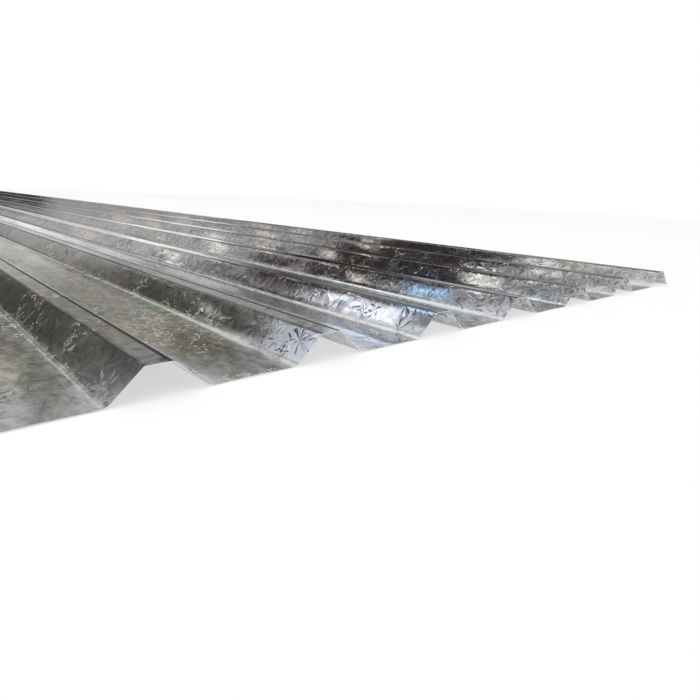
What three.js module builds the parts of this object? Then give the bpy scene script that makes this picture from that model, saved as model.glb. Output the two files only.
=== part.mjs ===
// Ribbed (trapezoidal) galvanised steel sheet, roll-formed in one piece from
// flat coil: broad flat pans between narrow raised ribs that run the whole
// length. Millimetres, +Z up. The sheet lies flat with its ribs along X, its
// width along Y, and its origin at the middle of its underside.
import * as THREE from 'three';

// Driving dimensions
const sheetLength = 6000; // stock length the sheet is sold in
const gauge = 0.5; // thickness of the coated steel
const ribCount = 9;
const ribPitch = 125; // one rib's middle to the next one's
const ribHeight = 20; // pan surface to crest surface
const crestWidth = 17; // flat top of a rib, corner to corner
const webRun = 22; // width that one sloping web takes up
const edgeLip = 8; // flat strip beyond each outermost web
const crestBendRadius = 2; // inside radius where a web meets a crest
const footBendRadius = 10; // inside radius where a web meets a pan
const stepsPerBend = 4; // facets round each bend

const zinc = new THREE.MeshStandardMaterial({ color: 0xa9adad, roughness: 0.38, metalness: 0.9 });

// Middle of the sheet's thickness, as the sharp corners of its bends from the
// -Y edge to the +Y edge: [across, up, inside bend radius].
function bendCorners() {
  const low = gauge / 2;
  const high = low + ribHeight;
  const halfCrest = crestWidth / 2;
  const halfFoot = halfCrest + webRun;
  const firstRib = -ribPitch * (ribCount - 1) / 2;
  const lastRib = -firstRib;
  const corners = [[firstRib - halfFoot - edgeLip, low, 0]];
  for (let rib = 0; rib < ribCount; rib += 1) {
    const middle = firstRib + rib * ribPitch;
    corners.push([middle - halfFoot, low, footBendRadius]);
    corners.push([middle - halfCrest, high, crestBendRadius]);
    corners.push([middle + halfCrest, high, crestBendRadius]);
    corners.push([middle + halfFoot, low, footBendRadius]);
  }
  corners.push([lastRib + halfFoot + edgeLip, low, 0]);
  return corners;
}

// Each inner corner as a bend: the centre that both faces' arcs share, the
// radius at mid-thickness, and the angles that the arc starts and ends at.
function bendsOf(corners) {
  const bends = [];
  for (let i = 1; i < corners.length - 1; i += 1) {
    const [y, z, insideRadius] = corners[i];
    const corner = new THREE.Vector2(y, z);
    const before = new THREE.Vector2(corners[i - 1][0], corners[i - 1][1]);
    const after = new THREE.Vector2(corners[i + 1][0], corners[i + 1][1]);
    const into = corner.clone().sub(before).normalize();
    const out = after.sub(corner).normalize();
    const turn = Math.sign(into.cross(out)); // +1 bends up, -1 bends down
    const bendAngle = Math.acos(into.dot(out));
    const radius = insideRadius + gauge / 2;
    const start = corner.clone().addScaledVector(into, -radius * Math.tan(bendAngle / 2));
    const inward = new THREE.Vector2(-into.y, into.x).multiplyScalar(turn);
    const centre = start.clone().addScaledVector(inward, radius);
    const startAngle = Math.atan2(-inward.y, -inward.x);
    bends.push({ centre, radius, turn, startAngle, endAngle: startAngle + turn * bendAngle });
  }
  return bends;
}

// The rolled section: up the -Y edge, along the upper face to the +Y edge, and
// back along the lower face.
function sheetSection() {
  const corners = bendCorners();
  const bends = bendsOf(corners);
  const halfGauge = gauge / 2;
  const [leftEdge, edgeHeight] = corners[0];
  const rightEdge = corners[corners.length - 1][0];
  const section = new THREE.Shape();
  section.moveTo(leftEdge, edgeHeight - halfGauge);
  section.lineTo(leftEdge, edgeHeight + halfGauge);
  for (const { centre, radius, turn, startAngle, endAngle } of bends) {
    const upperRadius = radius - turn * halfGauge;
    section.absarc(centre.x, centre.y, upperRadius, startAngle, endAngle, turn < 0);
  }
  section.lineTo(rightEdge, edgeHeight + halfGauge);
  section.lineTo(rightEdge, edgeHeight - halfGauge);
  for (const { centre, radius, turn, startAngle, endAngle } of bends.reverse()) {
    const lowerRadius = radius + turn * halfGauge;
    section.absarc(centre.x, centre.y, lowerRadius, endAngle, startAngle, turn > 0);
  }
  return section;
}

// The section is drawn in the XY plane and extruded along Z. These turns lay
// it down: section x becomes +Y, section y becomes +Z, and the length runs along X.
function rolledSheet() {
  const geometry = new THREE.ExtrudeGeometry(sheetSection(), {
    depth: sheetLength,
    steps: 1,
    bevelEnabled: false,
    curveSegments: stepsPerBend / 2, // an arc is split twice as finely as this
  });
  geometry.translate(0, 0, -sheetLength / 2);
  geometry.rotateX(Math.PI / 2);
  geometry.rotateZ(Math.PI / 2);
  const sheet = new THREE.Mesh(geometry, zinc);
  sheet.name = 'ribbed_sheet';
  return sheet;
}

const part = new THREE.Group();
part.add(rolledSheet());

export default part;
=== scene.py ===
"""Dresses the ribbed galvanised sheet: a finely bent skin of the same section as the CAD solid, spangled
zinc on its faces, sheared steel on its cut edges, a pale studio floor and the camera."""

import math

import bpy
import numpy as np
from mathutils import Matrix, Vector


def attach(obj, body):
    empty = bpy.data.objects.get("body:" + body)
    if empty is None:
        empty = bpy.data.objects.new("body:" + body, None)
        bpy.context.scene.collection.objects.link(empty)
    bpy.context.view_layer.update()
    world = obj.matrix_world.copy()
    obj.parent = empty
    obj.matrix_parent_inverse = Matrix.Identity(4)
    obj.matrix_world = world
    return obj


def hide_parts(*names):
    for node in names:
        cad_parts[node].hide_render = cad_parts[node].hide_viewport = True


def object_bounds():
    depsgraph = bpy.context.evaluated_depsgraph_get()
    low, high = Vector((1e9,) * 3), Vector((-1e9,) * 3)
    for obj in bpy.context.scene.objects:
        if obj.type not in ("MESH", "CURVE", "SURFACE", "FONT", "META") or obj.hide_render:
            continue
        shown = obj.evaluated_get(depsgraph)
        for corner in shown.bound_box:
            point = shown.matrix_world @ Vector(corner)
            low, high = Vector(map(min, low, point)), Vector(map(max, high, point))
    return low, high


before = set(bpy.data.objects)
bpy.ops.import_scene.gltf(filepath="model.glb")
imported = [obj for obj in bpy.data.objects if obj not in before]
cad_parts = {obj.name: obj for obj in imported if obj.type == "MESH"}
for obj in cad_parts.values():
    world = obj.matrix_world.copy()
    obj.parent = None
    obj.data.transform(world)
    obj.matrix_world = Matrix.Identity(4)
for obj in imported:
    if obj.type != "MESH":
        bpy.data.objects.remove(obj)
cad_low, cad_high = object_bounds()
SHEET_NODE = "ribbed_sheet"

# Section of the sheet, in metres. Its length and width come from the frame, and its gauge is what the
# frame's height leaves over the ribs.
RIB_COUNT = 9
RIB_PITCH = 0.125
RIB_HEIGHT = 0.020
CREST_WIDTH = 0.017
WEB_RUN = 0.022
CREST_BEND_RADIUS = 0.002
FOOT_BEND_RADIUS = 0.010
GAUGE = (cad_high.z - cad_low.z) - RIB_HEIGHT

# How finely the skin is divided.
BEND_STEPS = 6
PAN_STEPS = 8
WEB_STEPS = 5
CREST_STEPS = 8
FIRST_STATION = 0.012  # spacing of the cross-sections at the cut end that faces the camera
STATION_GROWTH = 1.026  # each spacing over the one before it
LAST_STATION = 0.16

# Oil-canning: how far the flats stand off their plane, and the waves that this goes in.
PAN_BULGE = 0.0006
WEB_BULGE = 0.00015
CREST_SAG = 0.00003
WAVE_LENGTHS = (0.31, 0.137, 0.071)
WAVE_STEP_BY_RUN = 2.4  # radians by which each flat's waves lead those of the flat before it
WAVE_STEP = 1.7  # and by which each wave leads the longer one before it
WAVE_WARP = 1.3  # and by which a wave strays from an even one
WAVE_WEIGHT = 1.5  # a wave weighs one over the sum of this and its number, from 0

# The faces' finishes, by their place in the skin's list of materials. The flats are pans and crests.
FLAT_FINISH, WEB_FINISH, EDGE_FINISH, RUBBED_AND_SHADED_FINISH = range(4)

# Where the bends are rubbed by the rolls and painted dark: a line that is partly rub and partly painted
# shade.
RUB_AND_SHADE_DEPTH = 0.0012  # how far down the web the rub and painted shade of a crest bend reach
RUB_AND_SHADE_SPREAD = 0.2  # and how far over the crest, as a share of its off-plane shape
RUBBED_AND_SHADED = 0.2  # rub and painted shade from which a strip of the bend has the dull, dark rubbed finish
RUB_AND_SHADE_REACHES = (6.0, 0.3, 1.1)  # how far from the cut end the rub and painted shade are full, at these three places across
RUB_AND_SHADE_REACH_PLACES = (-0.15, -0.06, 0.5)
RUB_AND_SHADE_FADE = 0.3  # and over how much more it fades out
NEAR_RUB_AND_SHADE_SHARES = (0.35, 1.0)  # rub and painted shade of a crest's -Y bend over its +Y bend's, at these two places across
NEAR_RUB_AND_SHADE_PLACES = (-0.15, 0.03)

# Where zinc dust lies in the valley corners. The same pale band is also a painted highlight along the foot
# bends.
DUST_AND_SHEEN_SLOPES = (0.25, 0.45)  # the dust and painted highlight lie where the foot bend leans between these two
DUST_AND_SHEEN_LEVEL = 1 / 3  # and lower than this share of the ribs' height
DUST_AND_SHEEN_REACH = 0.0012  # how far it lies beyond that part of the bend
DUST_AND_SHEEN_REACH_AT_CUT = 0.015  # and how much farther it lies at the cut end
DUST_AND_SHEEN_FADE = 0.065  # how fast it draws back from the cut end

UNDERSIDE_SHIFT = 20.0  # the lower face takes its zinc from this far along the coil, so it has its own

# Camera, in the frame of the CAD model.
CAMERA_PLACE = (3.2823, -0.3603, 0.1166)
CAMERA_AZIMUTH = 138.061  # of the view direction, anticlockwise from +X, in degrees
CAMERA_PITCH = -16.528
CAMERA_ROLL = 2.139
CAMERA_LENS = 27.412  # mm
CAMERA_SENSOR = 36.0  # mm
CAMERA_NEAREST = 0.01
CAMERA_FARTHEST = 200.0


# ---------------------------------------------------------------- section

def section_corners():
    """Sharp corners of the mid-thickness line from the -Y edge to the +Y edge: (y, z, inside radius)."""
    low = cad_low.z + GAUGE / 2
    high = low + RIB_HEIGHT
    corners = [(cad_low.y, low, 0.0)]
    for rib in range(RIB_COUNT):
        middle = (rib - (RIB_COUNT - 1) / 2) * RIB_PITCH
        foot = CREST_WIDTH / 2 + WEB_RUN
        corners.append((middle - foot, low, FOOT_BEND_RADIUS))
        corners.append((middle - CREST_WIDTH / 2, high, CREST_BEND_RADIUS))
        corners.append((middle + CREST_WIDTH / 2, high, CREST_BEND_RADIUS))
        corners.append((middle + foot, low, FOOT_BEND_RADIUS))
    corners.append((cad_high.y, low, 0.0))
    return corners


def bends_of(corners):
    """Each inner corner's bend: its arc's centre, radius, first angle and signed angle turned."""
    bends = []
    for before, corner, after in zip(corners, corners[1:], corners[2:]):
        into = (Vector(corner[:2]) - Vector(before[:2])).normalized()
        out = (Vector(after[:2]) - Vector(corner[:2])).normalized()
        side = 1 if into.x * out.y - into.y * out.x > 0 else -1
        turned = math.acos(into.dot(out))
        radius = corner[2] + GAUGE / 2
        start = Vector(corner[:2]) - into * radius * math.tan(turned / 2)
        inward = Vector((-into.y, into.x)) * side
        centre = start + inward * radius
        bends.append((centre, radius, math.atan2(-inward.y, -inward.x), side * turned))
    return bends


# What each row of the section's line holds.
Y, Z, NORMAL_Y, NORMAL_Z, SHAPE, RUN = range(6)


def section_line():
    """Rows along the mid-thickness line: place, normal, off-plane shape and run number.

    The off-plane shape is 0 at the bends and 1 midway between two. The run number tells one flat from
    the next, in fours from 0: pan, web, crest, web. A bend has the number of the flat before it."""
    corners = section_corners()
    bends = bends_of(corners)
    steps_by_kind = (PAN_STEPS, WEB_STEPS, CREST_STEPS, WEB_STEPS)
    starts = [Vector(corners[0][:2])]
    ends = []
    for centre, radius, first, turned in bends:
        ends.append(centre + radius * Vector((math.cos(first), math.sin(first))))
        starts.append(centre + radius * Vector((math.cos(first + turned), math.sin(first + turned))))
    ends.append(Vector(corners[-1][:2]))
    rows = []
    for run, (start, end) in enumerate(zip(starts, ends)):
        steps = steps_by_kind[run % 4]
        along = (end - start).normalized()
        for step in range(steps + 1):
            share = step / steps
            place = start.lerp(end, share)
            rows.append((place.x, place.y, -along.y, along.x, math.sin(math.pi * share) ** 2, run))
        if run == len(bends):
            break
        centre, radius, first, turned = bends[run]
        for step in range(1, BEND_STEPS):
            angle = first + turned * step / BEND_STEPS
            outward = Vector((math.cos(angle), math.sin(angle)))
            normal = -outward * math.copysign(1, turned)
            place = centre + radius * outward
            rows.append((place.x, place.y, normal.x, normal.y, 0.0, run))
    return np.array(rows)


def stations():
    """Places along X of the cross-sections, close together at the cut end that faces the camera."""
    length = cad_high.x - cad_low.x
    spacing = FIRST_STATION
    at = 0.0
    places = [at]
    while at + spacing < length:
        at += spacing
        places.append(at)
        spacing = min(spacing * STATION_GROWTH, LAST_STATION)
    places.append(length)
    return cad_high.x - np.array(places)


def waves(x, run):
    """Slow unevenness along the sheet from 0 to 1, different on each flat."""
    total = np.zeros_like(x)
    for number, wave in enumerate(WAVE_LENGTHS):
        phase = WAVE_STEP_BY_RUN * run + WAVE_STEP * number
        warp = WAVE_WARP * np.sin(x / wave + phase)
        total += np.sin(2 * math.pi * x / wave + phase + warp) / (number + WAVE_WEIGHT)
    most = sum(1 / (number + WAVE_WEIGHT) for number in range(len(WAVE_LENGTHS)))
    return 0.5 + 0.5 * total / most


def off_plane(x, row):
    """How far a point of the section stands off its flat, along its normal, at the places x."""
    shape = row[SHAPE]
    run = int(row[RUN])
    kind = run % 4
    if kind == 0:
        return PAN_BULGE * shape * waves(x, run)
    if kind == 2:
        return -CREST_SAG * shape * waves(x, run)
    return WEB_BULGE * shape * (2 * waves(x, run) - 1)


def sheet_mesh():
    """The skin: upper face, lower face, two slit side edges and two sheared ends.

    Its points also carry the crest bends' rub with painted shade, the valley corners' dust with painted
    highlight, and how far from the cut end they are."""
    line = section_line()
    xs = stations()
    steps = np.hypot(np.diff(line[:, Y]), np.diff(line[:, Z]))
    developed = np.concatenate([[0.0], np.cumsum(steps)])
    across = len(line)
    along = len(xs)

    def face_points(side):
        points = np.zeros((along, across, 3))
        for i, row in enumerate(line):
            stand_off = side * GAUGE / 2 + off_plane(xs, row)
            points[:, i, 0] = xs
            points[:, i, 1] = row[Y] + row[NORMAL_Y] * stand_off
            points[:, i, 2] = row[Z] + row[NORMAL_Z] * stand_off
        return points.reshape(-1, 3)

    upper = face_points(1)
    lower = face_points(-1)
    count = along * across
    grid = np.arange(count).reshape(along, across)
    quad_corners = (grid[:-1, :-1], grid[:-1, 1:], grid[1:, 1:], grid[1:, :-1])
    faces_up = np.stack([corner.ravel() for corner in quad_corners], 1)
    faces_down = faces_up[:, ::-1] + count
    rim = []
    for edge, flip in ((grid[0], False), (grid[-1], True), (grid[:, 0], True), (grid[:, -1], False)):
        quads = np.stack([edge[:-1], edge[:-1] + count, edge[1:] + count, edge[1:]], 1)
        rim.append(quads[:, ::-1] if flip else quads)
    faces_rim = np.concatenate(rim)
    faces = np.concatenate([faces_up, faces_down, faces_rim])
    mesh = bpy.data.meshes.new("sheet_skin")
    mesh.from_pydata(np.concatenate([upper, lower]).tolist(), [], faces.tolist())
    mesh.validate()
    is_rim = np.arange(len(faces)) >= len(faces_up) + len(faces_down)

    from_cut = cad_high.x - xs
    across_rub_and_shade = bend_rub_and_shade(line)
    rub_and_shade = across_rub_and_shade * rub_and_shade_fade(line, from_cut)
    is_bend = np.minimum(across_rub_and_shade[:-1], across_rub_and_shade[1:]) > RUBBED_AND_SHADED
    is_rubbed_and_shaded = np.minimum.reduce([rub_and_shade[:-1, :-1], rub_and_shade[1:, :-1], rub_and_shade[:-1, 1:], rub_and_shade[1:, 1:]]) > RUBBED_AND_SHADED
    is_web = line[:-1, RUN] % 2 == 1
    finish = np.where(is_bend | is_web, WEB_FINISH, FLAT_FINISH)
    # The crest bends' strip of rub and painted shade gets the dark rubbed finish.
    finish = np.where(is_rubbed_and_shaded, RUBBED_AND_SHADED_FINISH, finish).ravel()
    finish = np.concatenate([finish, finish, np.full(is_rim.sum(), EDGE_FINISH)])
    mesh.polygons.foreach_set("material_index", finish.astype(np.int32))
    mesh.polygons.foreach_set("use_smooth", ~is_rim)
    rim_edges = {tuple(sorted(pair)) for quad in faces_rim for pair in zip(quad, np.roll(quad, -1))}
    for edge in mesh.edges:
        edge.use_edge_sharp = tuple(sorted(edge.vertices)) in rim_edges

    coil = np.stack([np.repeat(xs, across), np.tile(developed, along)], 1)
    coil = np.concatenate([coil, coil + (UNDERSIDE_SHIFT, 0.0)])
    layer = mesh.uv_layers.new(name="coil")
    layer.uv.foreach_set("vector", coil[faces.ravel()].astype(np.float32).ravel())
    point_values = {
        "bend_rub_and_shade": rub_and_shade.ravel(),
        "foot_dust_and_sheen": foot_dust_and_sheen(line, developed, from_cut).ravel(),
        "from_cut": np.repeat(from_cut, across),
    }
    for name, upper_values in point_values.items():
        values = mesh.attributes.new(name, "FLOAT", "POINT")
        values.data.foreach_set("value", np.tile(upper_values, 2).astype(np.float32))
    mesh.update()
    return mesh


def bend_rub_and_shade(line):
    """How dark each point of the section is, partly rub of the rolls and partly painted shade: most on the
    +Y bend of each crest.
    """
    place = line[:, Y]
    height = line[:, Z]
    shape = line[:, SHAPE]
    near_top = np.clip(1 - (height.max() - height) / RUB_AND_SHADE_DEPTH, 0, 1)
    on_bend = near_top * np.clip(1 - shape / RUB_AND_SHADE_SPREAD, 0, 1)
    middle = np.round(place / RIB_PITCH) * RIB_PITCH
    near_share = np.interp(place, NEAR_RUB_AND_SHADE_PLACES, NEAR_RUB_AND_SHADE_SHARES)
    return np.where(place > middle, on_bend, near_share * on_bend)


def rub_and_shade_fade(line, from_cut):
    """How the rub and painted shade thin out along the sheet: rows along the sheet, columns across it."""
    reach = np.interp(line[:, Y], RUB_AND_SHADE_REACH_PLACES, RUB_AND_SHADE_REACHES)
    return np.clip(1 + (reach[None, :] - from_cut[:, None]) / RUB_AND_SHADE_FADE, 0, 1)


def foot_dust_and_sheen(line, developed, from_cut):
    """How much zinc dust and painted highlight lies in each valley corner: rows along the sheet, columns
    across it.
    """
    height = line[:, Z] - line[:, Z].min()
    slope = np.abs(line[:, NORMAL_Y])
    in_bend = (slope > DUST_AND_SHEEN_SLOPES[0]) & (slope < DUST_AND_SHEEN_SLOPES[1]) & (height < DUST_AND_SHEEN_LEVEL * RIB_HEIGHT)
    gap = np.abs(developed[:, None] - developed[in_bend][None, :]).min(axis=1)
    reach = DUST_AND_SHEEN_REACH + DUST_AND_SHEEN_REACH_AT_CUT * np.exp(-from_cut / DUST_AND_SHEEN_FADE)
    return np.exp(-(gap[None, :] / reach[:, None]) ** 2)


# ---------------------------------------------------------------- node helpers

VALUE = "NodeSocketFloat"
VECTOR = "NodeSocketVector"
COLOUR = "NodeSocketColor"


def feed(tree, value, socket):
    """Gives a socket another node's output or a plain value."""
    if isinstance(value, bpy.types.NodeSocket):
        tree.links.new(value, socket)
    else:
        socket.default_value = value


def add_node(tree, kind, inputs=None, **settings):
    """A node with its settings and its inputs, where an input is a value or another node's output."""
    node = tree.nodes.new(kind)
    for name, value in settings.items():
        setattr(node, name, value)
    for name, value in (inputs or {}).items():
        feed(tree, value, node.inputs[name])
    return node


def math_node(tree, operation, a, b=0.0, c=0.0, clamp=False):
    inputs = {0: a, 1: b, 2: c}
    return add_node(tree, "ShaderNodeMath", inputs, operation=operation, use_clamp=clamp).outputs[0]


def plus(tree, a, b, clamp=False):
    return math_node(tree, "ADD", a, b, clamp=clamp)


def minus(tree, a, b):
    return math_node(tree, "SUBTRACT", a, b)


def times(tree, a, b):
    return math_node(tree, "MULTIPLY", a, b)


def times_plus(tree, a, b, c, clamp=False):
    return math_node(tree, "MULTIPLY_ADD", a, b, c, clamp=clamp)


def larger(tree, a, b):
    return math_node(tree, "MAXIMUM", a, b)


def weighed(tree, first, share, second):
    """Two values mixed: the first by its share and the second by the rest."""
    return times_plus(tree, first, share, times(tree, second, 1.0 - share))


def remap(tree, value, source, result=(0.0, 1.0)):
    """The value eased from one span to another, and held at its ends beyond them."""
    inputs = {"Value": value, "From Min": source[0], "From Max": source[1],
              "To Min": result[0], "To Max": result[1]}
    return add_node(tree, "ShaderNodeMapRange", inputs, interpolation_type="SMOOTHSTEP").outputs["Result"]


def vector_node(tree, operation, a, b=(0, 0, 0)):
    return add_node(tree, "ShaderNodeVectorMath", {0: a, 1: b}, operation=operation).outputs[0]


def scaled(tree, vector, factor):
    inputs = {0: vector, "Scale": factor}
    return add_node(tree, "ShaderNodeVectorMath", inputs, operation="SCALE").outputs[0]


def length_of(tree, vector):
    return add_node(tree, "ShaderNodeVectorMath", {0: vector}, operation="LENGTH").outputs["Value"]


def split(tree, vector):
    return add_node(tree, "ShaderNodeSeparateXYZ", {0: vector}).outputs


def noise(tree, place, look):
    """Cloudy noise, as a value first and as a colour. Its look is waves a unit, detail and roughness."""
    scale, detail, roughness = look
    inputs = {"Vector": place, "Scale": scale, "Detail": detail, "Roughness": roughness}
    return add_node(tree, "ShaderNodeTexNoise", inputs).outputs


def random_colour(tree, x, y, z):
    """Three random numbers that are the same wherever x, y and z are the same."""
    seed = add_node(tree, "ShaderNodeCombineXYZ", {0: x, 1: y, 2: z}).outputs[0]
    drawn = add_node(tree, "ShaderNodeTexWhiteNoise", {"Vector": seed}, noise_dimensions="3D")
    return drawn.outputs["Color"]


def mesh_value(tree, name):
    """A value that the mesh carries at its points."""
    return add_node(tree, "ShaderNodeAttribute", attribute_name=name).outputs["Fac"]


def blended(tree, share, first, second, blend_type="MIX"):
    """The first colour where share is 0 and the second, or its product with the first, where it is 1."""
    inputs = {"Factor": share, "A": first, "B": second}
    settings = {"data_type": "RGBA", "blend_type": blend_type}
    return add_node(tree, "ShaderNodeMix", inputs, **settings).outputs["Result"]


def new_group(name, inputs, outputs):
    """An empty shader node group with its inputs (name, kind, default if any) and outputs (name, kind)."""
    tree = bpy.data.node_groups.new(name, "ShaderNodeTree")
    for label, kind, *default in inputs:
        socket = tree.interface.new_socket(label, in_out="INPUT", socket_type=kind)
        if default:
            socket.default_value = default[0]
    for label, kind in outputs:
        tree.interface.new_socket(label, in_out="OUTPUT", socket_type=kind)
    return tree, tree.nodes.new("NodeGroupInput").outputs, tree.nodes.new("NodeGroupOutput").inputs


def use_group(tree, group, **values):
    """A group placed in a material; an input's name is written with _ for each space."""
    inputs = {name.replace("_", " "): value for name, value in values.items()}
    return add_node(tree, "ShaderNodeGroup", inputs, node_tree=group).outputs


# ---------------------------------------------------------------- effects that the zinc finishes share

# Zinc crystals. Lengths are in grains, the size of one crystal.
RAGGED_NOISE = (1.6, 3.0, 0.5)  # bends the crystals' outlines and blades
OUTLINE_SHIFT = 0.7  # how far it bends the outlines
BLADE_SHIFT = 0.35  # and the blades
SIXTH = math.pi / 3
BARB_SLOPE = 0.577  # of a flower's barbs to its arm: they leave it at 60 degrees
BARBS_PER_GRAIN = 12.0
RAYS_PER_STAR = 20.0
STAR_LUCK = 0.5  # a crystal is a star if its luck is over this, and a flower if not
SHORTEST_BLADE = 0.2
BLADE_LENGTHS = 0.5  # from the shortest to the longest
BLADE_TIP_FADE = 0.12
BOLD_RARITY = 3.0  # power that keeps the bold blades few
BLADE_TONE_SHARE = 0.75  # of a facet's tone, and the sixth of the crystal has the rest
SPARK_LUCK = (0.6, 0.7)  # a blade is more and more a spark if its luck is over these
MIDWAY = (0.5, 0.5, 0.5)  # of three random numbers from 0 to 1

# Noises over the coil: waves a metre, detail, roughness.
MILL_STRETCH = (0.45, 1.0, 1.0)  # all but the cluster noise are drawn out along the sheet by this
FILM_NOISE = (9.0, 5.0, 0.65)
MOTTLE_NOISE = (140.0, 5.0, 0.7)
TINT_NOISE = (105.0, 6.0, 0.8)
BLOTCH_NOISE = (34.0, 3.0, 0.5)
CLUSTER_NOISE = (11.0, 1.0, 0.5)
BLOTCH_SHARE = 0.6  # of the blotches, and the tint noise has the rest
FILMED_EDGES = (0.42, 0.50)  # the film thickens from one of these places across the coil to the other
FILMED_WANDER = 0.12  # and they wander by this much
STAIN_LENGTHS = (0.9, 2.0)  # the stains are full this near the cut end and gone this far from it
STAIN_WANDER = 1.5  # and these lengths wander by this much
HANDLED_LENGTH = 0.4  # how fast handling marks thin out from the cut end
CRISP_LENGTHS = (0.8, 2.4)  # the spangle is full this near the cut end and faint this far from it
CRISP_FAR = 0.2  # what is left of it there

# The bare zinc's grey.
TONE_SHARES = (0.35, 0.35, 0.3)  # of facet, mottle and film
MIDDLE_TONE = 0.52
TONE_SPAN = (0.3, 0.7)  # tones from dark facet to pale facet
DARK_FACET = (0.31, 0.31, 0.315, 1)
PALE_FACET = (0.80, 0.80, 0.82, 1)
CAST_SPAN = (0.4, 0.6)  # tints from green cast to rose cast
GREEN_CAST = (0.93, 1.0, 0.94, 1)
ROSE_CAST = (1.0, 0.925, 0.935, 1)
CAST_FILM = (0.35, 0.65)  # the cast deepens with the film between these two
CAST_DEPTHS = (0.15, 1.0)  # from this depth to that

# Storage stains. They are this light where Shade is 1.
OLIVE = (0.33, 0.40, 0.26, 1)
BROWN = (0.55, 0.44, 0.30, 1)
WIPED_GREY = (0.38, 0.385, 0.395, 1)
BROWN_BLOTCHES = (0.43, 0.57)  # blotches from olive to brown
GREYED_LENGTHS = (0.02, 0.1)  # they are wiped grey this near the cut end, and not beyond this far
GREYED_SHARE = 0.75  # how far, at the cut end
STAIN_MOTTLE = (0.35, 0.65)
STAIN_LEVELS = (0.6, 1.3)  # of a stain's lightness over that span of the mottle
STAIN_MOTTLE_SHARE = 0.4  # of what decides where a stain is dense, and the film noise has the rest
STAIN_DENSE = (0.36, 0.56)
STAIN_DENSITIES = (0.35, 1.0)  # of a stain over that span

# Painted glints, dust with a painted highlight, and wear with painted shade.
PAINTED_GLINT_CLUSTERS = (0.61, 0.67)  # blades get painted glints where the cluster noise is over these
DUST_AND_SHEEN_MOTTLE_SHARE = 0.4  # of what decides where dust and its painted highlight lie, and the film noise has the rest
DUST_AND_SHEEN_AT_CUT = 0.06  # what is added to it at the cut end
DUST_AND_SHEEN_DENSE = (0.4, 0.62)
DUST_AND_SHEEN_DENSITIES = (0.2, 0.8)  # of the dust and its painted highlight over that span
RUB_AND_SHADE_MOTTLE = (0.25, 0.55)
RUB_AND_SHADE_LEVELS = (0.5, 1.0)  # of the rub and painted shade over that span of the mottle
SCUFF_CLUSTERS = (0.39, 0.34)  # blades are scuffed where the cluster noise is under these
SCUFF_AT_CUT = 0.22  # what is taken off the noise at the cut end, times the scuff share

# The clear film.
FILM_MOTTLE_SHARE = 0.3  # of what decides where it is thick, and the film noise has the rest
FILM_SPAN = (0.38, 0.62)  # of that, from thin to thick
FILMED_EXTRA = 0.5  # how much thicker it is over the coil's +Y part


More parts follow.
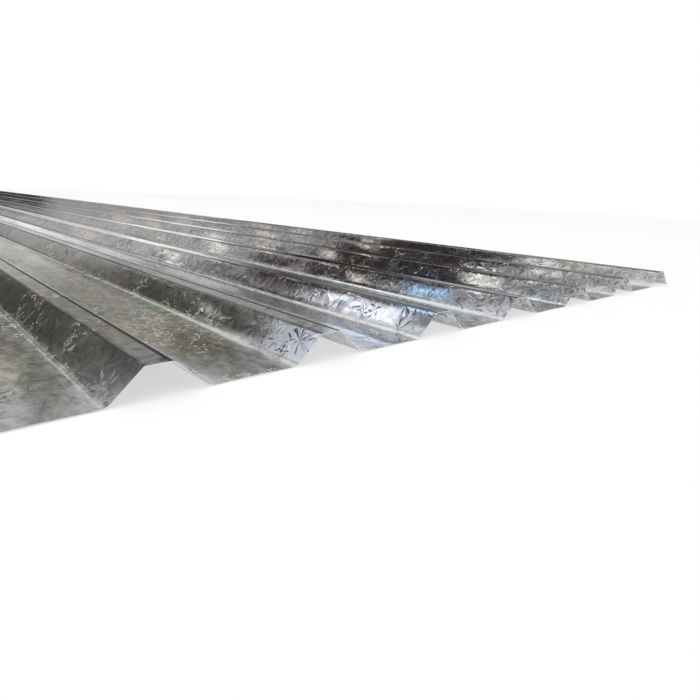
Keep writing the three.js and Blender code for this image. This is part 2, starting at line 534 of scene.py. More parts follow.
def spangle_group():
    """Zinc crystals: flowers of six feathered arms and stars, every blade of them leaning its own way.

    Place is a position on the coil in metres and Grain the size of a crystal. Sector tip and Blade tip are
    how far a crystal's sixths and its blades lean, as slopes, and Bold tip, times Boldness, is how much
    farther the boldest few lean. Tone is a blade's own shade, Spark picks out single blades, and Normal is
    the leaning normal."""
    tree, given, out = new_group(
        "zinc_spangle",
        [("Place", VECTOR), ("Grain", VALUE, 0.02), ("Sector tip", VALUE, 0.01),
         ("Blade tip", VALUE, 0.03), ("Bold tip", VALUE, 0.1), ("Boldness", VALUE, 0.0)],
        [("Tone", VALUE), ("Spark", VALUE), ("Normal", VECTOR)])
    place = scaled(tree, given["Place"], math_node(tree, "DIVIDE", 1.0, given["Grain"]))
    ragged = vector_node(tree, "SUBTRACT", noise(tree, place, RAGGED_NOISE)["Color"], MIDWAY)
    outline = vector_node(tree, "ADD", place, scaled(tree, ragged, OUTLINE_SHIFT))
    crystals = add_node(tree, "ShaderNodeTexVoronoi", {"Vector": outline, "Scale": 1.0},
                        voronoi_dimensions="2D").outputs
    luck = split(tree, crystals["Color"])

    # Where this place lies in its crystal: along and off the spine of its arm.
    bent = vector_node(tree, "ADD", place, scaled(tree, ragged, BLADE_SHIFT))
    from_heart = vector_node(tree, "SUBTRACT", bent, crystals["Position"])
    turn = times(tree, luck[0], 2 * math.pi)
    turned = add_node(tree, "ShaderNodeVectorRotate", {"Vector": from_heart, "Angle": turn},
                      rotation_type="Z_AXIS").outputs[0]
    arm = split(tree, turned)
    bearing = math_node(tree, "ARCTAN2", arm[1], arm[0])
    sector = math_node(tree, "FLOOR", math_node(tree, "DIVIDE", bearing, SIXTH))
    off_bearing = minus(tree, bearing, times(tree, plus(tree, sector, 0.5), SIXTH))
    reach = length_of(tree, turned)
    along_spine = times(tree, reach, math_node(tree, "COSINE", off_bearing))
    off_spine = times(tree, reach, math_node(tree, "SINE", off_bearing))

    # Which blade it lies on: a barb of the arm, or a ray of the star.
    slant = times(tree, math_node(tree, "ABSOLUTE", off_spine), BARB_SLOPE)
    barbs = times(tree, minus(tree, along_spine, slant), BARBS_PER_GRAIN)
    rays = times(tree, bearing, RAYS_PER_STAR / (2 * math.pi))
    is_star = math_node(tree, "GREATER_THAN", luck[1], STAR_LUCK)
    blades = add_node(tree, "ShaderNodeMix", {"Factor": is_star, "A": barbs, "B": rays},
                      data_type="FLOAT").outputs["Result"]
    blade = math_node(tree, "FLOOR", blades)
    ridge = math_node(tree, "SINE", times(tree, math_node(tree, "FRACT", blades), math.pi))
    side = math_node(tree, "SIGN", off_spine)
    sector_luck = random_colour(tree, luck[1], sector, 0.0)
    blade_luck = random_colour(tree, plus(tree, luck[2], sector), blade, side)
    draw = split(tree, blade_luck)

    # How far it leans.
    blade_length = plus(tree, times(tree, draw[1], BLADE_LENGTHS), SHORTEST_BLADE)
    to_tip = minus(tree, blade_length, reach)
    stroke = times(tree, ridge, remap(tree, to_tip, (0.0, BLADE_TIP_FADE)))
    bold = times(tree, math_node(tree, "POWER", draw[2], BOLD_RARITY), stroke)
    bold = times(tree, times(tree, bold, given["Boldness"]), given["Bold tip"])
    tip = times_plus(tree, given["Blade tip"], ridge, bold)
    sector_lean = scaled(tree, vector_node(tree, "SUBTRACT", sector_luck, MIDWAY), given["Sector tip"])
    blade_lean = scaled(tree, vector_node(tree, "SUBTRACT", blade_luck, MIDWAY), tip)
    lean = split(tree, vector_node(tree, "ADD", sector_lean, blade_lean))
    flat = add_node(tree, "ShaderNodeNewGeometry").outputs["Normal"]
    along = add_node(tree, "ShaderNodeTangent", direction_type="UV_MAP", uv_map="coil").outputs[0]
    across = vector_node(tree, "CROSS_PRODUCT", flat, along)
    tipped = vector_node(tree, "ADD", flat, scaled(tree, along, lean[0]))
    tipped = vector_node(tree, "ADD", tipped, scaled(tree, across, lean[1]))

    sector_tone = times(tree, split(tree, sector_luck)[2], 1.0 - BLADE_TONE_SHARE)
    feed(tree, plus(tree, sector_tone, times(tree, draw[2], BLADE_TONE_SHARE)), out["Tone"])
    feed(tree, times(tree, remap(tree, draw[0], SPARK_LUCK), stroke), out["Spark"])
    feed(tree, vector_node(tree, "NORMALIZE", tipped), out["Normal"])
    return tree


def coil_marks_group():
    """The unevenness of the coil, and where on it the other effects lie.

    Film, Blotch, Tint and Mottle are noises from slow to fine, and Cluster is one that gathers single
    blades. Filmed is 1 on the coil's +Y part, where the film is thicker, and Stored is 1 on the rest of
    it near the cut end. Handled falls from 1 at the cut end, and Crisp is how strong the spangle is."""
    tree, given, out = new_group(
        "coil_marks",
        [("Place", VECTOR), ("From cut", VALUE)],
        [("Film", VALUE), ("Blotch", VALUE), ("Tint", VALUE), ("Mottle", VALUE), ("Cluster", VALUE),
         ("Filmed", VALUE), ("Stored", VALUE), ("Handled", VALUE), ("Crisp", VALUE)])
    rolled = vector_node(tree, "MULTIPLY", given["Place"], MILL_STRETCH)
    film = noise(tree, rolled, FILM_NOISE)[0]
    tint = noise(tree, rolled, TINT_NOISE)[0]
    wandered = times_plus(tree, film, FILMED_WANDER, split(tree, given["Place"])[1])
    filmed = remap(tree, wandered, [edge + FILMED_WANDER / 2 for edge in FILMED_EDGES])
    wandered = times_plus(tree, film, STAIN_WANDER, given["From cut"])
    near_cut = remap(tree, wandered, [length + STAIN_WANDER / 2 for length in STAIN_LENGTHS], (1.0, 0.0))
    faded = math_node(tree, "DIVIDE", given["From cut"], -HANDLED_LENGTH)
    feed(tree, film, out["Film"])
    feed(tree, weighed(tree, noise(tree, rolled, BLOTCH_NOISE)[0], BLOTCH_SHARE, tint), out["Blotch"])
    feed(tree, tint, out["Tint"])
    feed(tree, noise(tree, rolled, MOTTLE_NOISE)[0], out["Mottle"])
    feed(tree, noise(tree, given["Place"], CLUSTER_NOISE)[0], out["Cluster"])
    feed(tree, filmed, out["Filmed"])
    feed(tree, times(tree, minus(tree, 1.0, filmed), near_cut), out["Stored"])
    feed(tree, math_node(tree, "EXPONENT", faded), out["Handled"])
    feed(tree, remap(tree, given["From cut"], CRISP_LENGTHS, (1.0, CRISP_FAR)), out["Crisp"])
    return tree


def bare_zinc_group():
    """The zinc's own grey: lighter and darker facets, with a faint green or rose cast here and there."""
    tree, given, out = new_group(
        "bare_zinc",
        [("Facet tone", VALUE), ("Mottle", VALUE), ("Film", VALUE), ("Tint", VALUE), ("Crisp", VALUE)],
        [("Colour", COLOUR)])
    facet_share, mottle_share, film_share = TONE_SHARES
    tone = times_plus(tree, given["Facet tone"], facet_share, times(tree, given["Mottle"], mottle_share))
    tone = times_plus(tree, given["Film"], film_share, tone)
    tone = times_plus(tree, minus(tree, tone, MIDDLE_TONE), given["Crisp"], MIDDLE_TONE)
    grey = blended(tree, remap(tree, tone, TONE_SPAN), DARK_FACET, PALE_FACET)
    cast = blended(tree, remap(tree, given["Tint"], CAST_SPAN), GREEN_CAST, ROSE_CAST)
    depth = remap(tree, given["Film"], CAST_FILM, CAST_DEPTHS)
    feed(tree, blended(tree, depth, grey, cast, "MULTIPLY"), out["Colour"])
    return tree


def storage_stain_group():
    """Olive and brown storage stains, wiped grey in the last few centimetres, and where they lie.

    Shade is how light they are; the webs get a lower Shade than the pans, a painted shade."""
    tree, given, out = new_group(
        "storage_stain",
        [("Shade", VALUE, 1.0), ("Stored", VALUE), ("From cut", VALUE), ("Blotch", VALUE),
         ("Mottle", VALUE), ("Film", VALUE)],
        [("Colour", COLOUR), ("Stained", VALUE)])
    stain = blended(tree, remap(tree, given["Blotch"], BROWN_BLOTCHES), OLIVE, BROWN)
    greyed = remap(tree, given["From cut"], GREYED_LENGTHS, (GREYED_SHARE, 0.0))
    stain = blended(tree, greyed, stain, WIPED_GREY)
    level = times(tree, remap(tree, given["Mottle"], STAIN_MOTTLE, STAIN_LEVELS), given["Shade"])
    density = weighed(tree, given["Mottle"], STAIN_MOTTLE_SHARE, given["Film"])
    density = remap(tree, density, STAIN_DENSE, STAIN_DENSITIES)
    feed(tree, scaled(tree, stain, level), out["Colour"])
    feed(tree, times(tree, density, given["Stored"]), out["Stained"])
    return tree


def painted_glint_group():
    """Single blades painted near-white as glints, a painted highlight, in clusters. Stored share is how
    much wider these clusters are where stains lie.
    """
    tree, given, out = new_group(
        "painted_blade_glint",
        [("Spark", VALUE), ("Cluster", VALUE), ("Stored", VALUE), ("Stored share", VALUE)],
        [("Painted_glint", VALUE)])
    gathered = times_plus(tree, given["Stored"], given["Stored share"], given["Cluster"])
    feed(tree, times(tree, given["Spark"], remap(tree, gathered, PAINTED_GLINT_CLUSTERS)), out["Painted_glint"])
    return tree


def valley_dust_and_sheen_group():
    """Zinc dust in the valley corners, patchy, and somewhat thicker near the cut end. It is also a painted
    highlight along the foot bends.
    """
    tree, given, out = new_group(
        "valley_dust_and_sheen",
        [("Corner", VALUE), ("Mottle", VALUE), ("Film", VALUE), ("Handled", VALUE)],
        [("Dust_and_sheen", VALUE)])
    settled = weighed(tree, given["Mottle"], DUST_AND_SHEEN_MOTTLE_SHARE, given["Film"])
    settled = times_plus(tree, given["Handled"], DUST_AND_SHEEN_AT_CUT, settled)
    density = remap(tree, settled, DUST_AND_SHEEN_DENSE, DUST_AND_SHEEN_DENSITIES)
    feed(tree, times(tree, given["Corner"], density), out["Dust_and_sheen"])
    return tree


def dark_wear_and_shade_group():
    """Dark wear and painted shade: the dark line along the crest bends, partly the rolls' rub and partly
    painted shade, and single blades scuffed by handling.
    """
    tree, given, out = new_group(
        "dark_wear_and_shade",
        [("Bend rub", VALUE), ("Rub share", VALUE), ("Spark", VALUE), ("Scuff share", VALUE),
         ("Cluster", VALUE), ("Mottle", VALUE), ("Handled", VALUE)],
        [("Worn_and_shaded", VALUE)])
    rub_and_shade = times(tree, remap(tree, given["Mottle"], RUB_AND_SHADE_MOTTLE, RUB_AND_SHADE_LEVELS), given["Rub share"])
    rub_and_shade = times(tree, rub_and_shade, given["Bend rub"])
    handled = times(tree, times(tree, given["Scuff share"], SCUFF_AT_CUT), given["Handled"])
    gathered = minus(tree, given["Cluster"], handled)
    scuff = times(tree, given["Spark"], remap(tree, gathered, SCUFF_CLUSTERS))
    feed(tree, larger(tree, rub_and_shade, times(tree, scuff, given["Scuff share"])), out["Worn_and_shaded"])
    return tree


def clear_film_group():
    """How thick the clear film is: from Thin to Thick, and more where the coil is Filmed.

    It is gone where dust with its painted highlight, or wear with its painted shade, has Dulled the face."""
    tree, given, out = new_group(
        "clear_film",
        [("Thin", VALUE), ("Thick", VALUE), ("Mottle", VALUE), ("Film", VALUE), ("Filmed", VALUE),
         ("Dulled", VALUE)],
        [("Thickness", VALUE)])
    film = weighed(tree, given["Mottle"], FILM_MOTTLE_SHARE, given["Film"])
    film = remap(tree, film, FILM_SPAN, (given["Thin"], given["Thick"]))
    film = times_plus(tree, given["Filmed"], FILMED_EXTRA, film, clamp=True)
    feed(tree, times(tree, film, minus(tree, 1.0, given["Dulled"])), out["Thickness"])
    return tree


# ---------------------------------------------------------------- finishes

# The zinc faces.
GRAIN = 0.024  # width of a zinc crystal
PAINTED_GLINT_GRAIN = 0.016  # and of the finer ones whose blades get painted glints
SECTOR_TIP = 0.004  # how far the sixths of a crystal lean, as a slope
BOLD_TIP = 0.16  # how much farther than the others its boldest blades lean
BOLD_CLUSTERS = (0.48, 0.6)  # they are bold where the cluster noise is over these
# Colour and strength of the painted glints, a painted highlight.
PAINTED_GLINT_COLOUR = (1.0, 0.90, 0.80, 1)
PAINTED_GLINT_STRENGTH = 0.85
# Pale zinc dust, which is also a painted highlight along the foot bends.
DUST_AND_SHEEN_COLOUR = (0.72, 0.72, 0.72, 1)
# Near black: scuffed blades, and the crest bends' line, partly rub and partly painted shade.
WORN_AND_SHADED_COLOUR = (0.03, 0.03, 0.03, 1)
ROUGH_FILM = (0.35, 0.7)
ROUGHNESS = (0.04, 0.08)  # of the bare zinc over that span of the film noise
FACET_ROUGHNESS = 0.02  # and so much more on the palest facets
DULLED_ROUGHNESS = 0.35  # and so much more where dust with its painted highlight, or wear with its painted shade, dulls it
PAINTED_GLINT_MATT = 0.6  # how far painted glints, dust with its painted highlight, and stains take the metal's mirror off
DUST_AND_SHEEN_MATT = 0.7
STAIN_MATT = 0.35
FILM_ROUGHNESS = 0.07

# The sheared edge.
EDGE_NOISE = (900.0, 2.0, 0.5)  # waves a metre, detail, roughness
EDGE_DARK = (0.55, 0.55, 0.55, 1)
EDGE_PALE = (0.88, 0.88, 0.87, 1)
EDGE_SPAN = (0.3, 0.7)
EDGE_ROUGHNESS = (0.3, 0.5)
EDGE_METALLIC = 0.6


def new_material(name):
    """A material with its node tree and its Principled shader's inputs."""
    material = bpy.data.materials.new(name)
    material.use_nodes = True
    tree = material.node_tree
    return material, tree, tree.nodes["Principled BSDF"].inputs


def zinc_face(name, groups, edge_gloss, film, blade_tip, painted_stain_shade, scuff_share, painted_glint_share, rub_and_shade_share):
    """Hot-dip zinc: a half-mirror grey metal whose facets lean each its own way, under a thin clear film.

    Edge gloss is how much the bare zinc still mirrors at a glancing look, and film its coat's weight where
    it is thin and where it is thick. Blade tip is how far the blades lean, as a slope, and painted stain
    shade how light the stains are, lower on the webs as a painted shade. The shares are how much scuffing,
    painted glint among the stains, and rub with painted shade there is."""
    material, tree, shader = new_material(name)
    coil = add_node(tree, "ShaderNodeUVMap", uv_map="coil").outputs["UV"]
    from_cut = mesh_value(tree, "from_cut")
    marks = use_group(tree, groups["coil_marks"], Place=coil, From_cut=from_cut)
    uneven = {"Mottle": marks["Mottle"], "Film": marks["Film"]}
    spangle = use_group(tree, groups["zinc_spangle"], Place=coil, Grain=GRAIN, Sector_tip=SECTOR_TIP,
                        Blade_tip=times(tree, marks["Crisp"], blade_tip), Bold_tip=BOLD_TIP,
                        Boldness=remap(tree, marks["Cluster"], BOLD_CLUSTERS))
    fine_spangle = use_group(tree, groups["zinc_spangle"], Place=coil, Grain=PAINTED_GLINT_GRAIN)

    bare = use_group(tree, groups["bare_zinc"], Facet_tone=spangle["Tone"], Tint=marks["Tint"],
                     Crisp=marks["Crisp"], **uneven)["Colour"]
    stain = use_group(tree, groups["storage_stain"], Shade=painted_stain_shade, Stored=marks["Stored"],
                      From_cut=from_cut, Blotch=marks["Blotch"], **uneven)
    painted_glint = use_group(tree, groups["painted_blade_glint"], Spark=fine_spangle["Spark"], Stored=marks["Stored"],
                      Stored_share=painted_glint_share, Cluster=marks["Cluster"])["Painted_glint"]
    dust_and_sheen = use_group(tree, groups["valley_dust_and_sheen"], Corner=mesh_value(tree, "foot_dust_and_sheen"),
                     Handled=marks["Handled"], **uneven)["Dust_and_sheen"]
    worn_and_shaded = use_group(tree, groups["dark_wear_and_shade"], Bend_rub=mesh_value(tree, "bend_rub_and_shade"),
                     Rub_share=rub_and_shade_share, Spark=spangle["Spark"], Scuff_share=scuff_share,
                     Cluster=marks["Cluster"], Mottle=marks["Mottle"], Handled=marks["Handled"])["Worn_and_shaded"]
    dulled = larger(tree, worn_and_shaded, dust_and_sheen)
    coat = use_group(tree, groups["clear_film"], Thin=film[0], Thick=film[1], Filmed=marks["Filmed"],
                     Dulled=dulled, **uneven)["Thickness"]

    colour = blended(tree, stain["Stained"], bare, stain["Colour"])
    # Painted glints: a painted highlight in the base colour.
    colour = blended(tree, times(tree, painted_glint, PAINTED_GLINT_STRENGTH), colour, PAINTED_GLINT_COLOUR)
    # Dust in the valley corners, and a painted highlight along the foot bends.
    colour = blended(tree, dust_and_sheen, colour, DUST_AND_SHEEN_COLOUR)
    # Scuffs, and the crest bends' rub with painted shade.
    colour = blended(tree, worn_and_shaded, colour, WORN_AND_SHADED_COLOUR)
    feed(tree, colour, shader["Base Color"])

    roughness = plus(tree, remap(tree, marks["Film"], ROUGH_FILM, ROUGHNESS),
                     times(tree, spangle["Tone"], FACET_ROUGHNESS))
    feed(tree, times_plus(tree, dulled, DULLED_ROUGHNESS, roughness), shader["Roughness"])

    matt = larger(tree, times(tree, painted_glint, PAINTED_GLINT_MATT), times(tree, dust_and_sheen, DUST_AND_SHEEN_MATT))
    matt = larger(tree, matt, times(tree, stain["Stained"], STAIN_MATT))
    feed(tree, minus(tree, 1.0, matt), shader["Metallic"])

    feed(tree, coat, shader["Coat Weight"])
    feed(tree, spangle["Normal"], shader["Normal"])
    shader["Specular Tint"].default_value = (edge_gloss, edge_gloss, edge_gloss, 1)
    shader["Coat Roughness"].default_value = FILM_ROUGHNESS
    return material


def sheared_edge():
    """The bright sheared steel of the cut ends and the slit side edges."""
    material, tree, shader = new_material("sheared_steel")
    place = add_node(tree, "ShaderNodeTexCoord").outputs["Object"]
    grain = noise(tree, place, EDGE_NOISE)[0]
    feed(tree, blended(tree, grain, EDGE_DARK, EDGE_PALE), shader["Base Color"])
    feed(tree, remap(tree, grain, EDGE_SPAN, EDGE_ROUGHNESS), shader["Roughness"])
    shader["Metallic"].default_value = EDGE_METALLIC
    return material


# ---------------------------------------------------------------- studio

# The key softbox stands this many degrees round from +X and this many up.
LAMP_AZIMUTH = -60.0
LAMP_PITCH = 55.0
LAMP_DISTANCE = 10.0
LAMP_SIZE = 8.0
LAMP_POWER = 400.0  # watts

FLOOR_SIZE = 120.0
FLOOR_GAP = 0.0002  # between it and the sheet's underside
FLOOR_COLOUR = (0.9, 0.9, 0.9, 1)
FLOOR_ROUGHNESS = 0.9
FLOOR_REACH = (3.2, 6.0)  # between these distances from the sheet's middle
FLOOR_GLOW = (0.6, 1.0)  # the share of plain white in what is seen of the floor grows by this
WHITE = (1, 1, 1, 1)

# The cards round the sheet: first and last azimuth, lower edge and upper edge as elevations at those two
# azimuths, softness of the edges, colour. Later cards stand in front of earlier ones. Angles are in
# degrees, azimuths anticlockwise from +X, and 1 is white. The camera doesn't see them.
STUDIO_CARDS = {
    "side_walls": ((0, 360), (19, 19), (50, 50), 5, (0.6, 0.6, 0.6)),
    "back_wall": ((95, 176), (8.5, 8.5), (60, 60), 3, (0.7, 0.7, 0.7)),
    "back_low": ((95, 158), (0, 0), (8.5, 8.5), 2, (0.45, 0.45, 0.45)),
    "back_dip": ((131, 149), (6.5, 6.5), (10.3, 10.3), 1.5, (0.3, 0.3, 0.31)),
    "back_low_lit": ((150, 172), (0, 0), (8, 8), 3, (0.9, 0.9, 0.88)),
    "back_low_glow": ((151.5, 160.5), (2.5, 2.5), (7.2, 7.2), 2, (1.3, 1.29, 1.26)),
    "back_foot": ((112, 178), (0, 0), (3, 3), 1.5, (0.1, 0.1, 0.1)),
    "back_foot_dark": ((105, 149), (0, 0), (2.8, 2.8), 1.2, (0.015, 0.015, 0.02)),
    "back_flag": ((124, 146), (3.3, 6.2), (8.0, 9.0), 1.2, (0.01, 0.01, 0.012)),
    "back_lamp": ((128.5, 140.5), (13.1, 13.1), (16.2, 16.2), 2, (1.9, 2.15, 2.6)),
    "back_panel": ((163, 174), (9, 9), (23, 19), 3, (0.65, 0.65, 0.63)),
    "back_recess": ((150, 157.5), (13.5, 13.5), (18, 18), 3, (0.15, 0.145, 0.14)),
    "strip_lamp": ((172.5, 178), (9, 9), (16, 16), 1.5, (1.4, 1.4, 1.4)),
    "strip_lamp_top": ((170.5, 178), (15, 15), (29, 29), 1.5, (1.3, 1.3, 1.3)),
    "strip_lamp_side": ((165, 171), (23, 20.5), (29, 29), 2, (1.4, 1.4, 1.4)),
    "strip_flag": ((160, 170), (29, 29), (36, 36), 3, (0.6, 0.6, 0.62)),
    "top_softbox": ((138, 176), (38, 38), (60, 60), 5, (1.5, 1.58, 1.72)),
    "end_wall": ((177, 188), (0, 0), (60, 60), 3, (0.38, 0.37, 0.37)),
    "end_wall_foot": ((178.5, 182.2), (0, 0), (13.2, 13.2), 1.5, (0.01, 0.01, 0.01)),
    "end_panel": ((181.5, 186.5), (9, 9), (40, 22), 2.5, (0.56, 0.56, 0.56)),
    "dark_store": ((187, 218), (0, 0), (33, 33), 2.5, (0.042, 0.047, 0.035)),
    "store_haze": ((191, 204), (14, 14), (22, 30), 4, (0.18, 0.18, 0.17)),
    "side_lamp": ((199.5, 208), (14, 14), (24, 24), 2.5, (0.8, 0.8, 0.8)),
    "upper_wall": ((184, 206), (48, 48), (90, 90), 3, (0.38, 0.39, 0.43)),
    "roof_panel": ((187, 191), (31, 31), (44, 44), 2, (0.3, 0.27, 0.27)),
    "dark_beam": ((180, 188.3), (44, 31), (62, 51.5), 2.5, (0.055, 0.042, 0.035)),
    "dark_beam_foot": ((184.2, 187.2), (32, 31), (43, 43), 1.5, (0.06, 0.05, 0.05)),
    "daylight_panel": ((190.3, 204), (38.0, 24.3), (48, 48), 2, (1.65, 1.73, 2.0)),
    "daylight_rim": ((188.0, 190.1), (48.0, 48.0), (52.9, 52.9), 1.5, (1.05, 1.8, 2.7)),
    "blue_panel": ((187, 189.4), (61, 61), (63.6, 63.6), 1.2, (0.22, 0.33, 0.45)),
    "end_ceiling": ((174, 187), (58, 58), (90, 90), 3, (0.63, 0.61, 0.57)),
    "dark_gap": ((176, 183.4), (46, 46), (61, 61), 2, (0.05, 0.042, 0.038)),
    "end_spot": ((185, 188.5), (54.5, 54.5), (57.5, 57.5), 1.5, (1.6, 1.6, 1.5)),
    "ceiling_spot": ((181, 184.5), (60, 60), (63, 63), 1.5, (1.3, 1.3, 1.3)),
}
PIN_LAMPS = (  # azimuth, elevation, strength
    (184.8, 23.7, 0.75), (183.4, 28.3, 0.8), (191.4, 27.4, 1.0), (184.0, 40.0, 0.7), (181.4, 43.8, 0.7),
    (187.7, 43.2, 0.8), (186.6, 55.7, 1.0), (183.2, 16.0, 0.42), (181.8, 19.3, 0.4), (181.8, 22.0, 0.42),
    (181.1, 24.8, 0.4), (182.0, 33.3, 0.65), (181.3, 36.6, 0.45), (184.6, 36.5, 0.3), (188.0, 18.4, 0.14))
PIN_LAMP_RADIUS = 0.75  # in degrees
PIN_LAMP_COLOUR = (1.9, 1.8, 1.7)
CARD_DISTANCE = 400.0  # so far off that every point of the sheet sees a card the same way
CARD_GAP = 2.0  # between one card and the next in front of it
CARD_MESH = 2.0  # degrees from one line of a card's mesh to the next
CARD_STRIPS = 3  # the fewest strips each way


def card_material():
    """A self-lit card: its colour and how solid it is come from the card's own mesh."""
    material = bpy.data.materials.new("studio_card")
    material.use_nodes = True
    tree = material.node_tree
    tree.nodes.remove(tree.nodes["Principled BSDF"])
    shade = add_node(tree, "ShaderNodeAttribute", attribute_name="shade").outputs["Color"]
    solid = remap(tree, mesh_value(tree, "solid"), (0.0, 1.0))
    light = add_node(tree, "ShaderNodeEmission", {"Color": shade}).outputs[0]
    clear = add_node(tree, "ShaderNodeBsdfTransparent").outputs[0]
    mix = add_node(tree, "ShaderNodeMixShader", {0: solid, 1: clear, 2: light}).outputs[0]
    tree.links.new(mix, tree.nodes["Material Output"].inputs["Surface"])
    return material


def studio_card(name, azimuths, low_edge, high_edge, soft, colour, distance, material):
    """A card bent round the sheet, which lights it and is mirrored in it, and never blocks the view.

    Its edges fade out over soft degrees, half of them outside what the card is said to cover."""
    spread = soft / 2
    first = azimuths[0] - spread
    last = azimuths[1] + spread
    columns = max(CARD_STRIPS, round((last - first) / CARD_MESH)) + 1
    tallest = max(high_edge[0] - low_edge[0], high_edge[1] - low_edge[1]) + soft
    rows = max(CARD_STRIPS, round(tallest / CARD_MESH)) + 1
    share, rise = np.meshgrid(np.linspace(0, 1, columns), np.linspace(0, 1, rows), indexing="ij")
    azimuth = first + share * (last - first)
    low = low_edge[0] + share * (low_edge[1] - low_edge[0]) - spread
    high = high_edge[0] + share * (high_edge[1] - high_edge[0]) + spread
    elevation = low + rise * (high - low)
    inside = np.minimum.reduce([azimuth - first, last - azimuth, elevation - low, high - elevation])
    turn = np.radians(azimuth)
    lift = np.radians(np.clip(elevation, 0, 90))
    outward = [np.cos(turn) * np.cos(lift), np.sin(turn) * np.cos(lift), np.sin(lift)]
    points = distance * np.stack(outward, -1)
    grid = np.arange(columns * rows).reshape(columns, rows)
    quads = np.stack([grid[:-1, :-1], grid[1:, :-1], grid[1:, 1:], grid[:-1, 1:]], -1).reshape(-1, 4)
    mesh = bpy.data.meshes.new(name)
    mesh.from_pydata(points.reshape(-1, 3).tolist(), [], quads.tolist())
    solid = mesh.attributes.new("solid", "FLOAT", "POINT")
    solid.data.foreach_set("value", np.clip(inside / soft, 0, 1).ravel().astype(np.float32))
    shade = mesh.attributes.new("shade", "FLOAT_COLOR", "POINT")
    shade.data.foreach_set("color", np.tile((*colour, 1.0), columns * rows).astype(np.float32))
    mesh.materials.append(material)
    card = bpy.data.objects.new(name, mesh)
    card.visible_camera = False
    bpy.context.scene.collection.objects.link(card)


def studio_cards():
    """The cards and the pin lamps that the zinc mirrors."""
    material = card_material()
    distance = CARD_DISTANCE
    for name, (azimuths, low_edge, high_edge, soft, colour) in STUDIO_CARDS.items():
        studio_card(name, azimuths, low_edge, high_edge, soft, colour, distance, material)
        distance -= CARD_GAP
    for number, (azimuth, elevation, strength) in enumerate(PIN_LAMPS):
        across = (azimuth - PIN_LAMP_RADIUS, azimuth + PIN_LAMP_RADIUS)
        low = elevation - PIN_LAMP_RADIUS
        high = elevation + PIN_LAMP_RADIUS
        colour = tuple(strength * level for level in PIN_LAMP_COLOUR)
        studio_card(f"pin_lamp_{number + 1}", across, (low, low), (high, high), PIN_LAMP_RADIUS,
                    colour, distance, material)
        distance -= CARD_GAP


def studio_world():
    """A plain white backdrop all round."""
    world = bpy.data.worlds.new("studio")
    bpy.context.scene.world = world
    world.use_nodes = True
    world.node_tree.nodes["Background"].inputs["Color"].default_value = WHITE


def direction(azimuth, pitch):
    """The way that points so many degrees round from +X and so many up."""
    turn = math.radians(azimuth)
    lift = math.radians(pitch)
    return Vector((math.cos(turn) * math.cos(lift), math.sin(turn) * math.cos(lift), math.sin(lift)))


def key_lamp():
    """A large softbox high up on the camera's side, for the floor and the dull parts of the sheet."""
    towards = direction(LAMP_AZIMUTH, LAMP_PITCH)
    light = bpy.data.lights.new("key_softbox", "AREA")
    light.shape = "SQUARE"
    light.size = LAMP_SIZE
    light.energy = LAMP_POWER
    lamp = bpy.data.objects.new("key_softbox", light)
    lamp.visible_glossy = False  # or the webs would mirror it as a white sheet
    lamp.location = towards * LAMP_DISTANCE
    lamp.rotation_euler = towards.to_track_quat("Z", "Y").to_euler()
    bpy.context.scene.collection.objects.link(lamp)


def studio_floor():
    """A pale floor that keeps the sheet's shadow near it and is plain white farther off."""
    mesh = bpy.data.meshes.new("floor")
    level = cad_low.z - FLOOR_GAP
    half = FLOOR_SIZE / 2
    corners = [(-half, -half, level), (half, -half, level), (half, half, level), (-half, half, level)]
    mesh.from_pydata(corners, [], [(0, 1, 2, 3)])
    floor = bpy.data.objects.new("floor", mesh)
    bpy.context.scene.collection.objects.link(floor)
    material, tree, shader = new_material("pale_floor")
    shader["Base Color"].default_value = FLOOR_COLOUR
    shader["Roughness"].default_value = FLOOR_ROUGHNESS
    shader["Specular IOR Level"].default_value = 0.0
    glow = add_node(tree, "ShaderNodeEmission", {"Color": WHITE, "Strength": 1.0}).outputs[0]
    path = add_node(tree, "ShaderNodeLightPath").outputs
    seen = plus(tree, path["Is Camera Ray"], path["Is Glossy Ray"], clamp=True)
    seen = plus(tree, seen, path["Is Transmission Ray"], clamp=True)
    away = length_of(tree, add_node(tree, "ShaderNodeTexCoord").outputs["Object"])
    share = times(tree, seen, remap(tree, away, FLOOR_REACH, FLOOR_GLOW))
    lit = tree.nodes["Principled BSDF"].outputs[0]
    mix = add_node(tree, "ShaderNodeMixShader", {0: share, 1: lit, 2: glow}).outputs[0]
    tree.links.new(mix, tree.nodes["Material Output"].inputs["Surface"])
    mesh.materials.append(material)


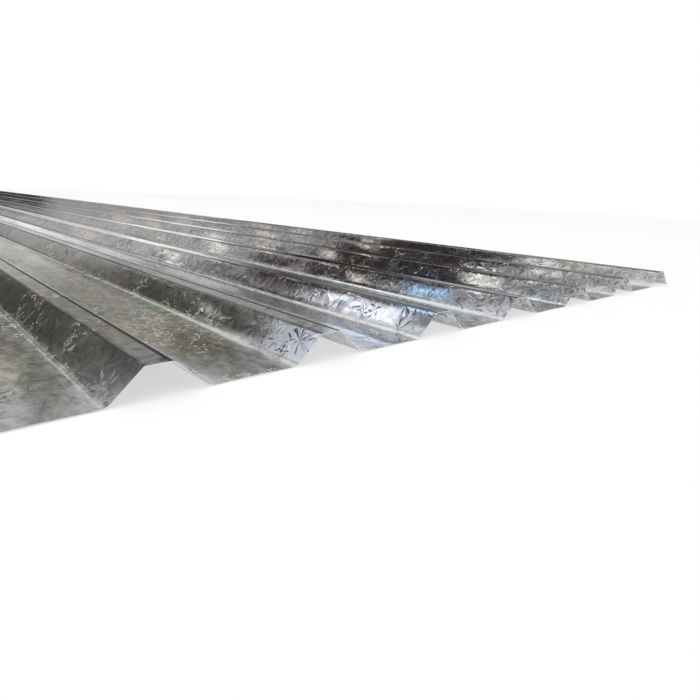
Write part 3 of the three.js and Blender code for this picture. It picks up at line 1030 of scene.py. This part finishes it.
def low_camera():
    """The camera: low in front of the cut end, on its -Y side, looking along and across the ribs."""
    ahead = direction(CAMERA_AZIMUTH, CAMERA_PITCH)
    roll = math.radians(CAMERA_ROLL)
    level_right = ahead.cross(Vector((0, 0, 1))).normalized()
    level_up = level_right.cross(ahead)
    right = level_right * math.cos(roll) + level_up * math.sin(roll)
    up = right.cross(ahead)
    data = bpy.data.cameras.new("camera")
    data.lens = CAMERA_LENS
    data.sensor_width = CAMERA_SENSOR
    data.clip_start = CAMERA_NEAREST
    data.clip_end = CAMERA_FARTHEST
    camera = bpy.data.objects.new("camera", data)
    axes = Matrix((right, up, -ahead)).transposed().to_4x4()
    camera.matrix_world = Matrix.Translation(CAMERA_PLACE) @ axes
    bpy.context.scene.collection.objects.link(camera)
    bpy.context.scene.camera = camera


# ---------------------------------------------------------------- scene

low_camera()
studio_world()
studio_cards()
key_lamp()
studio_floor()

shared_effects = (spangle_group(), coil_marks_group(), bare_zinc_group(), storage_stain_group(),
                  painted_glint_group(), valley_dust_and_sheen_group(), dark_wear_and_shade_group(), clear_film_group())
groups = {group.name: group for group in shared_effects}
finishes = {
    FLAT_FINISH: zinc_face("zinc_of_pans_and_crests", groups, edge_gloss=0.25, film=(0.06, 0.45),
                           blade_tip=0.01, painted_stain_shade=0.69, scuff_share=0.45, painted_glint_share=0.1,
                           rub_and_shade_share=1.0),
    # The webs' stains are painted darker than the pans', a painted shade.
    WEB_FINISH: zinc_face("zinc_of_webs", groups, edge_gloss=0.9, film=(0.05, 0.25),
                          blade_tip=0.018, painted_stain_shade=0.24, scuff_share=0.9, painted_glint_share=0.02,
                          rub_and_shade_share=0.0),
    EDGE_FINISH: sheared_edge(),
    # The crest bends' dark strip: rubbed zinc that is partly painted shade.
    RUBBED_AND_SHADED_FINISH: zinc_face("rubbed_and_shaded_zinc_of_bends", groups, edge_gloss=0.06, film=(0.0, 0.05),
                             blade_tip=0.01, painted_stain_shade=0.3, scuff_share=0.4, painted_glint_share=0.0,
                             rub_and_shade_share=1.0),
}
skin = bpy.data.objects.new("sheet_skin", sheet_mesh())
bpy.context.scene.collection.objects.link(skin)
for place in sorted(finishes):
    skin.data.materials.append(finishes[place])
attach(skin, "root")
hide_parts(SHEET_NODE)

scene = bpy.context.scene
scene.view_settings.view_transform = "Standard"
